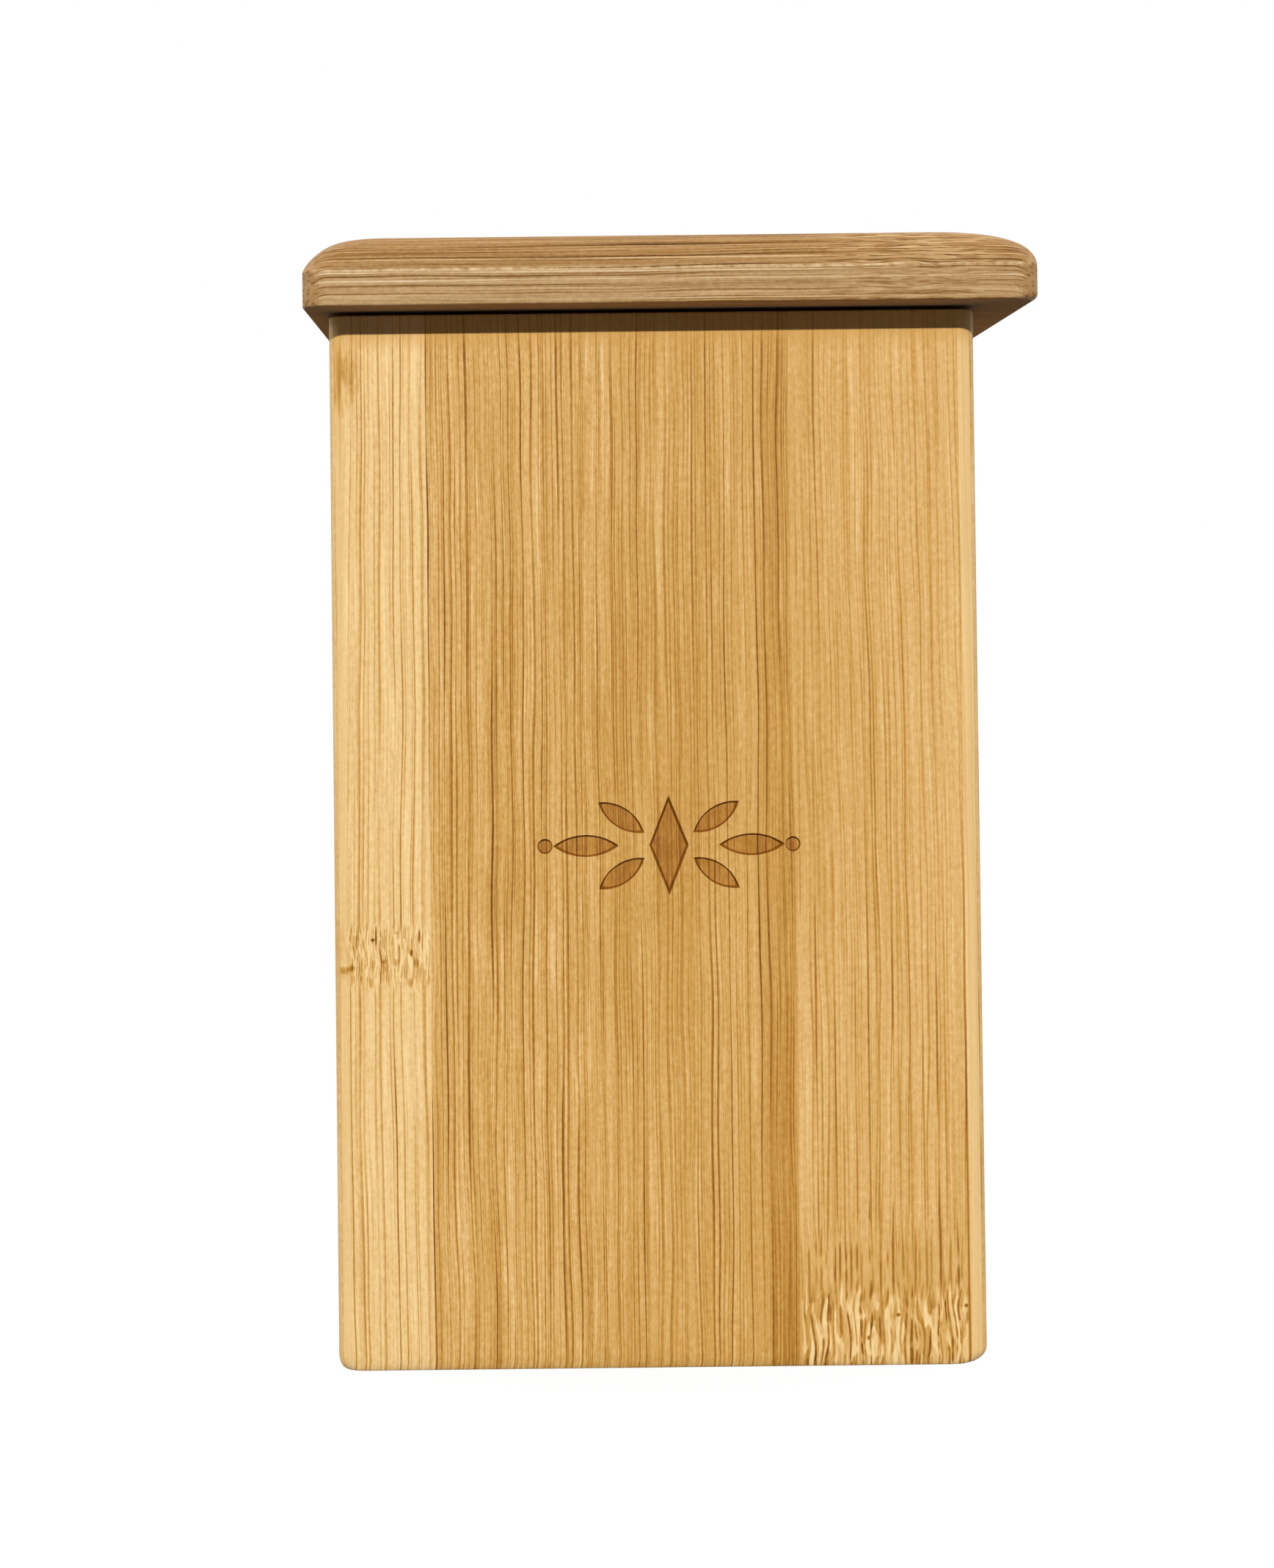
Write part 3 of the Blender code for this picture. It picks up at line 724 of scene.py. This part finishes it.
def make_wall(node, outward, finish):
    """One wall, cut from the rounded block of the whole box at its inner face and its two mitres."""
    outward = Vector(outward)
    sideways = Vector((-outward.y, outward.x, 0))
    middle = Vector((MIDDLE_X, MIDDLE_Y, 0))
    reach = (BACK - FRONT) / 2 if outward.y else (RIGHT - LEFT) / 2
    width = (RIGHT - LEFT) / 2 if outward.y else (BACK - FRONT) / 2
    bm = bmesh.new()
    loft(bm, body_rings())
    inside = middle + outward * (reach - WALL)
    slice_off(bm, inside, -outward)
    depth = inside.dot(outward) + SEAM
    inner_rim = edges_where(bm, lambda co: co.z > RIM - SEAM and co.dot(outward) < depth)
    bevel(bm, inner_rim, RIM_EASE, RIM_STEPS)
    for side in (-1, 1):
        corner = middle + outward * reach + sideways * side * (width - SEAM)
        slice_off(bm, corner, sideways * side - outward)
    wall = add_piece(node + "_bamboo", bm, [finish])
    stand_for(wall, node, "box")
    return wall


def round_share(up, fullness, crease):
    """How far in a rounded edge has come at a share of its height. A crease makes it start at a slant."""
    high = crease + (1 - crease) * up
    return 1 - ((1 - high**fullness) / (1 - crease**fullness)) ** (1 / fullness)


def make_lid(finish, underside):
    """The lid board, from its eased lower edge to the broad round over its top."""
    corners = (LID_LOW.xy, LID_HIGH.xy)
    rings = []
    for step in range(LID_LOWER_STEPS + 1):
        up = max(LID_LOWER_ROUNDS) * (1 - math.cos(math.pi / 2 * step / LID_LOWER_STEPS))
        insets = [width - math.sqrt(width**2 - max(width - up, 0) ** 2) for width in LID_LOWER_ROUNDS]
        rings.append(plan(*corners, insets, LID_CORNER_RADIUS, LID_LOW.z + up))
    arris = LID_LOW.z + LID_ARRIS_HEIGHT
    sides = list(zip(LID_ROUNDS, LID_FULLNESS, LID_CREASES))
    for step in range(LID_ROUND_STEPS + 1):
        up = math.sin(math.pi / 2 * step / LID_ROUND_STEPS)
        insets = [width * round_share(up, *shape) for width, *shape in sides]
        radius = LID_CORNER_RADIUS + LID_CORNER_GROWTH * round_share(up, 2.0, 0.0)
        rings.append(plan(*corners, insets, radius, arris + (LID_HIGH.z - arris) * up))
    bm = bmesh.new()
    loft(bm, rings)
    for face in bm.faces:
        if face.calc_center_median().z < LID_LOW.z + SEAM:
            face.material_index = 1
    lid = add_piece("lid_board_bamboo", bm, [finish, underside], LID_SHARP)
    stand_for(lid, "lid_board", "lid")
    return lid


def grown(low, high, margin):
    return [value - margin for value in low], [value + margin for value in high]


def carve_hinge_seats(wall, lid):
    """Shallow seats for the leaves in rim and lid, with a round groove that clears the knuckles."""
    plate_drop = PLATE_FROM_AXIS + HARDWARE_GAP
    for side in ("left", "right"):
        low, high = grown(*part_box(side + "_hinge_body_leaf"), HARDWARE_GAP)
        seat = bmesh.new()
        box(seat, (low[0], low[1], AXIS.z - plate_drop), (high[0], AXIS.y, RIM + CUTTER_OVERRUN))
        carve(wall, seat)
        seat = bmesh.new()
        box(seat, (low[0], low[1], LID_LOW.z - CUTTER_OVERRUN), (high[0], AXIS.y, AXIS.z + plate_drop))
        carve(lid, seat, sharp=LID_SHARP)
        groove = bmesh.new()
        rod(groove, KNUCKLE_GROOVE_RADIUS, high[0] - low[0], 48)
        bmesh.ops.rotate(groove, matrix=Matrix.Rotation(math.pi / 2, 3, "Y"), verts=groove.verts)
        middle = ((low[0] + high[0]) / 2, AXIS.y, AXIS.z)
        bmesh.ops.translate(groove, vec=middle, verts=groove.verts)
        carve(lid, groove, sharp=LID_SHARP)


def carve_magnet_pockets(wall, lid):
    """Round pockets that open at the rim and at the lid's underside."""
    boards = (("body", wall, RIM, WALL_SHARP), ("lid", lid, LID_LOW.z, LID_SHARP))
    for side in ("left", "right"):
        for owner, piece, mouth, sharp in boards:
            low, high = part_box(f"{side}_{owner}_magnet")
            pocket = bmesh.new()
            depth = high.z - low.z + HARDWARE_GAP
            rod(pocket, (high.x - low.x) / 2 + MAGNET_CLEARANCE, depth * 2, 64)
            centre = ((low.x + high.x) / 2, (low.y + high.y) / 2, mouth)
            bmesh.ops.translate(pocket, vec=centre, verts=pocket.verts)
            carve(piece, pocket, sharp=sharp)


def arc(centre, radius, start, end, steps):
    angles = [start + (end - start) * step / steps for step in range(steps + 1)]
    return [Vector((centre[0] + radius * math.cos(a), centre[1] + radius * math.sin(a))) for a in angles]


def leaf_outline(centre, length, width, tilt):
    """A pointed leaf: two arcs that meet at its ends."""
    spread = 2 * math.atan(width / length)
    radius = length / (2 * math.sin(spread))
    middle = (0, -radius * math.cos(spread))
    upper = arc(middle, radius, math.pi / 2 - spread, math.pi / 2 + spread, 16)
    lower = [-point for point in upper]
    turn = Matrix.Rotation(tilt, 2)
    return [turn @ point + Vector(centre) for point in upper[:-1] + lower[:-1]]


def ornament():
    """A lozenge with three leaves and a dot on each side."""
    across = ORNAMENT_WIDTH * LOZENGE_SHARE
    up = ORNAMENT_HEIGHT / 2
    lozenge = [Vector((across, 0)), Vector((0, up)), Vector((-across, 0)), Vector((0, -up))]
    dot_place = (ORNAMENT_WIDTH * ORNAMENT_DOT_SHARE, 0)
    right = [arc(dot_place, ORNAMENT_DOT_RADIUS, 0, 2 * math.pi, 28)[:-1]]
    for (x, y), (length, width), tilt in ORNAMENT_LEAVES:
        centre = (ORNAMENT_WIDTH * x, ORNAMENT_HEIGHT * y)
        size = (ORNAMENT_WIDTH * length, ORNAMENT_HEIGHT * width)
        right.append(leaf_outline(centre, *size, math.radians(tilt)))
    left = [[Vector((-point.x, point.y)) for point in reversed(shape)] for shape in right]
    return [lozenge, *right, *left]


def carve_ornament(wall, burnt_edge, burnt_floor):
    """The engraving: sloping sides, scorched dark, down to a browner floor."""
    for shape in ornament():
        bm = bmesh.new()
        mouth_y = FRONT - ENGRAVING_DEPTH
        points = [(x + ORNAMENT_CENTRE.x, mouth_y, y + ORNAMENT_CENTRE.y) for x, y in shape]
        bmesh.ops.contextual_create(bm, geom=ring(bm, points))
        mouth = bm.verts[:]
        made = bmesh.ops.extrude_face_region(bm, geom=bm.faces[:], use_keep_orig=True)
        floor = [item for item in made["geom"] if isinstance(item, bmesh.types.BMVert)]
        middle = sum((vert.co for vert in mouth), Vector()) / len(mouth)
        bmesh.ops.translate(bm, vec=(0, 2 * ENGRAVING_DEPTH, 0), verts=floor)
        centred = Matrix.Translation(-middle)
        for share, verts in ((2 - ENGRAVING_TAPER_SHARE, mouth), (ENGRAVING_TAPER_SHARE, floor)):
            bmesh.ops.scale(bm, vec=(share, 1, share), space=centred, verts=verts)
        for face in bm.faces:
            face.material_index = int(all(vert in floor for vert in face.verts))
        carve(wall, bm, [burnt_edge, burnt_floor])


def make_hardware(node, body, finishes, ease):
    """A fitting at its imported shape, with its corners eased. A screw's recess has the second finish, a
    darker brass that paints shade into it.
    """
    bm = bmesh.new()
    bm.from_mesh(frame["nodes"][node].data)
    bmesh.ops.remove_doubles(bm, verts=bm.verts, dist=SAME_POINT)
    flat = math.radians(SAME_FACE_ANGLE)
    bmesh.ops.dissolve_limit(bm, angle_limit=flat, verts=bm.verts, edges=bm.edges)
    if node.endswith("_screw"):
        low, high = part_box(node)
        head = high.z if "_body_" in node else low.z
        for face in bm.faces:
            centre = face.calc_center_median()
            from_axis = (centre.xy - ((low + high) / 2).xy).length
            depth = abs(centre.z - head)
            in_recess = RECESS_DEPTHS[0] < depth < RECESS_DEPTHS[1] and from_axis < RECESS_RADIUS
            face.material_index = int(in_recess)
    piece = add_piece(node + "_metal", bm, finishes, METAL_SHARP)
    modifier = piece.modifiers.new("ease", "BEVEL")
    modifier.width = ease
    modifier.segments = METAL_EASE_STEPS
    modifier.limit_method = "ANGLE"
    modifier.angle_limit = math.radians(METAL_EASE_ANGLE)
    flatten_shading(piece)
    stand_for(piece, node, body)


def lid_finish():
    """Browner bamboo with its fibres from side to side, knotty at the right, with a painted highlight
    along the arris and a painted sheen on its front band.
    """
    finish = Finish("lid bamboo")
    x, y, z = finish.place()
    across = y - LID_LOW.y / MM
    through = z - LID_LOW.z / MM
    along = x - LID_LOW.x / MM
    top = (LID_HIGH.z - LID_LOW.z) / MM

    # Over the top the grain is that of its surface, and it turns down at the front and at the back
    turning = 1 - finish.rise(across, 6.0, 14.0) - finish.rise(across, 66.4, 74.4)
    leaning = (through - top) * turning + top
    tone, relief = bamboo(finish, across + leaning * 0.4, leaning, along, LID_STRIPS, 13.0)
    front = 1 - finish.rise(across, 0.3, 1.0)
    # Painted sheen: the lid's vertical front band below the arris is painted lighter, and the rest of the
    # lid a little darker
    sheen_band = (1 - finish.rise(through, 3.4, 3.8)) * front
    layer = across * 0.5 + leaning
    silver = vessel_lines(finish, layer, along, LID_SILVER_LINES, 77.0)
    brown = vessel_lines(finish, layer + 0.35, along, LID_BROWN_LINES, 27.0)
    tone = tone + silver * 0.23 - brown * 0.16 - (1 - sheen_band) * 0.032 + sheen_band * 0.05
    near_front = 1 - finish.rise(across, 4.5, 6.0)
    for centre, size, lift in LID_STREAKS:
        tone = tone + spot(finish, along, through, centre, size) * near_front * lift

    node = finish.rise(along, 52.0, 59.0) * (1 - finish.rise(along, 70.0, 75.0))
    node = node * (1 - finish.rise(across, 20.0, 21.5)) * (1 - sheen_band * 0.45)
    knots = flames(finish, across * 1.3 + through * 1.9, along * 0.95)
    tone = tone * (1 - node * 0.75) + (0.530 + knots) * node * 0.75

    # A broken pale line along the arris: a painted highlight
    highlight_breaks = finish.noise(along * 0.9, across * 0.9, through * 1.1, 2.0)
    arris = 1 - finish.rise(abs(through - LID_ARRIS_HEIGHT / MM), 0.05, 0.26)
    arris_highlight = finish.rise(highlight_breaks, 0.30, 0.62) * arris * front
    cut_end = cut_across(finish, "X", 0.22, 0.62)
    ends = end_grain(finish, across, through, LID_STRIPS) * 0.85 + 0.045
    tone = tone * (1 - cut_end) + ends * cut_end
    satin_wood(finish, tone + arris_highlight * 0.17, relief * (1 - cut_end), LID_TONES)
    return finish


def underside_finish():
    """The lid's underside: raw, unoiled and without any gloss."""
    finish = Finish("raw lid bamboo")
    x, y, _ = finish.place()
    tone, relief = bamboo(finish, y - LID_LOW.y / MM, 0.0, x - LID_LOW.x / MM, LID_STRIPS, 13.0)
    colour = finish.mix(0.35, finish.ramp(tone + 0.02, LID_TONES), RAW_UNDERSIDE)
    normal = finish.bump(relief, GRAIN_RELIEF, 0.35)
    coat(finish, colour, roughness=0.85 - tone * 0.1, specular=0.0, normal=normal)
    return finish


def burnt_finish(name, floor):
    """Laser-scorched wood, with the wall's fibres still showing."""
    finish = Finish(name)
    x, y, z = finish.place()
    tone, relief = bamboo(finish, x - LEFT / MM, 0.0, z, FRONT_STRIPS, FRONT_SEED)
    cloud = finish.noise(x * 0.7, y, z * 0.5, 2.0) - 0.5
    if floor:
        tone = tone - 0.155 + cloud * 0.10
    else:
        tone = tone * 0.5 + 0.05 + cloud * 0.12
    satin_wood(finish, tone, relief, WALL_TONES)
    return finish


def brass_finish(name, clean, dull):
    finish = Finish(name)
    x, y, z = finish.place()
    cloud = finish.noise(x * 0.35, y * 0.35, z * 0.35, 2.0)
    brushed = finish.noise(x * 0.8, y * 7.0, z * 7.0, 1.0)
    tarnish = finish.rise(cloud, 0.48, 0.80) * 0.6
    roughness = 0.30 + tarnish * 0.14 + (brushed - 0.5) * 0.10
    normal = finish.bump(brushed, 0.01 * MM, 0.15)
    coat(finish, finish.mix(tarnish, clean, dull), roughness=roughness, metallic=1.0, normal=normal)
    return finish


def nickel_finish():
    finish = Finish("nickel plating")
    x, y, z = finish.place()
    cloud = finish.noise(x * 0.6, y * 0.6, z * 0.6, 2.0)
    scratch = finish.noise(x * 9.0 + y * 4.0, y * 2.0, z * 9.0, 2.0)
    colour = finish.mix(finish.rise(cloud, 0.4, 0.7), srgb(200, 199, 194), srgb(184, 182, 176))
    normal = finish.bump(scratch, 0.005 * MM, 0.1)
    coat(finish, colour, roughness=0.25 + (scratch - 0.5) * 0.07, metallic=1.0, normal=normal)
    return finish


def bottom_finish():
    finish = Finish("bottom bamboo")
    x, y, z = finish.place()
    tone, relief = bamboo(finish, y - FRONT / MM, z, x, BOTTOM_STRIPS, 31.0)
    satin_wood(finish, tone, relief, WALL_TONES)
    return finish


def dress():
    """Makes every visible piece, the wood first and then the metal."""
    front_finish = wall_finish("front bamboo", 0, FRONT, 1, FRONT_STRIPS, FRONT_SEED, front_figure)
    back_finish = wall_finish("back bamboo", 0, BACK, -1, BACK_STRIPS, 47.0)
    left_finish = wall_finish("left bamboo", 1, LEFT, 1, LEFT_STRIPS, 61.0)
    right_finish = wall_finish("right bamboo", 1, RIGHT, -1, RIGHT_STRIPS, 83.0)
    front = make_wall("front_panel", (0, -1, 0), front_finish)
    right = make_wall("right_panel", (1, 0, 0), right_finish)
    back = make_wall("back_panel", (0, 1, 0), back_finish)
    left = make_wall("left_panel", (-1, 0, 0), left_finish)
    lid = make_lid(lid_finish(), underside_finish())
    carve_hinge_seats(back, lid)
    carve_magnet_pockets(front, lid)
    carve_ornament(front, burnt_finish("scorched edge", False), burnt_finish("scorched floor", True))
    for piece in (front, right, back, left, lid):
        flatten_shading(piece)

    bottom = frame["nodes"]["bottom_panel"]
    bottom.data.materials.clear()
    bottom.data.materials.append(bottom_finish().material)

    brass = brass_finish("tarnished brass", srgb(198, 168, 110), srgb(158, 129, 80))
    # Darker brass for the screws' recesses: painted shade
    slot_shade = brass_finish("slot shade brass", srgb(96, 74, 40), srgb(66, 50, 28))
    nickel = nickel_finish()
    for node, obj in frame["nodes"].items():
        body = obj["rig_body"]
        if node.endswith("_magnet"):
            make_hardware(node, body, [nickel], MAGNET_EASE)
        elif "_hinge_" in node:
            ease = SCREW_EASE if node.endswith("_screw") else LEAF_EASE
            make_hardware(node, body, [brass, slot_shade], ease)


def light_paths(shader):
    """1 for rays that see the background: straight, in gloss and through glass."""
    rays = ("Is Camera Ray", "Is Glossy Ray", "Is Transmission Ray")
    return [shader.node("ShaderNodeLightPath", {}, {}, ray) for ray in rays]


def make_floor():
    """A floor that looks white, keeps the shadow and lends the object a little cool light from below."""
    bm = bmesh.new()
    sunk = Matrix.Translation((0, 0, -FLOOR_DROP))
    bmesh.ops.create_grid(bm, x_segments=1, y_segments=1, size=FLOOR_HALF_WIDTH, matrix=sunk)
    finish = Finish("white floor")
    camera, glossy, transmission = light_paths(finish)
    coat(finish, FLOOR_COLOUR, roughness=1.0, specular=0.0)
    matt = Signal(finish, finish.surface.outputs[0])
    faint_light = {"Color": FLOOR_FAINT_GLOW, "Strength": FLOOR_FAINT_STRENGTH}
    white_light = {"Color": WHITE, "Strength": FLOOR_WHITE_STRENGTH}
    faint = finish.node("ShaderNodeEmission", {}, faint_light)
    white = finish.node("ShaderNodeEmission", {}, white_light)
    seen = camera + glossy + transmission
    glow = finish.node("ShaderNodeMixShader", {}, {0: seen, 1: faint, 2: white})
    whole = finish.node("ShaderNodeMixShader", {}, {0: FLOOR_GLOW_SHARE, 1: matt, 2: glow})
    finish.feed(finish.nodes["Material Output"], {"Surface": whole})
    floor = add_piece("floor", bm, [finish])


def light_world():
    """White where it is seen. As light it is strong from behind and weak from the camera's side."""
    world = bpy.data.worlds.new("studio")
    bpy.context.scene.world = world
    sky = Shader(world)
    direction = sky.node("ShaderNodeTexCoord", {}, {}, "Generated")
    backward = sky.node("ShaderNodeSeparateXYZ", {}, {0: direction}, "Y")
    weak, strong = WORLD_STRENGTHS
    turn = {0: backward, 1: -WORLD_TURN, 2: WORLD_TURN, 3: weak, 4: strong}
    strength = sky.node("ShaderNodeMapRange", {}, turn)
    for ray in light_paths(sky):
        strength = sky.node("ShaderNodeMix", {}, {0: ray, 2: strength, 3: 1.0})
    sky.feed(sky.nodes["Background"], {"Color": WHITE, "Strength": strength})


def hang_suns():
    for name, strength, width, toward in SUNS:
        sun = bpy.data.lights.new(name, "SUN")
        sun.energy = strength
        sun.angle = math.radians(width)
        lamp = bpy.data.objects.new(name, sun)
        lamp.rotation_euler = Vector(toward).to_track_quat("Z", "Y").to_euler()
        bpy.context.scene.collection.objects.link(lamp)


def set_camera():
    """The photograph's view, from a little above the object's middle and a little to its left."""
    data = bpy.data.cameras.new("photograph")
    data.sensor_fit = "AUTO"
    data.sensor_width = 36.0
    data.lens = CAMERA_LENS
    data.shift_x, data.shift_y = CAMERA_SHIFT
    data.clip_start = 0.01
    data.clip_end = 50.0
    camera = bpy.data.objects.new("photograph", data)
    tilt, turn = CAMERA_TURNS
    camera.matrix_world = (
        Matrix.Translation(CAMERA_PLACE)
        @ Matrix.Rotation(math.radians(tilt), 4, "X")
        @ Matrix.Rotation(math.radians(turn), 4, "Z")
    )
    bpy.context.scene.collection.objects.link(camera)
    bpy.context.scene.camera = camera


dress()
make_floor()
light_world()
hang_suns()
set_camera()
bpy.context.scene.view_settings.view_transform = "Standard"
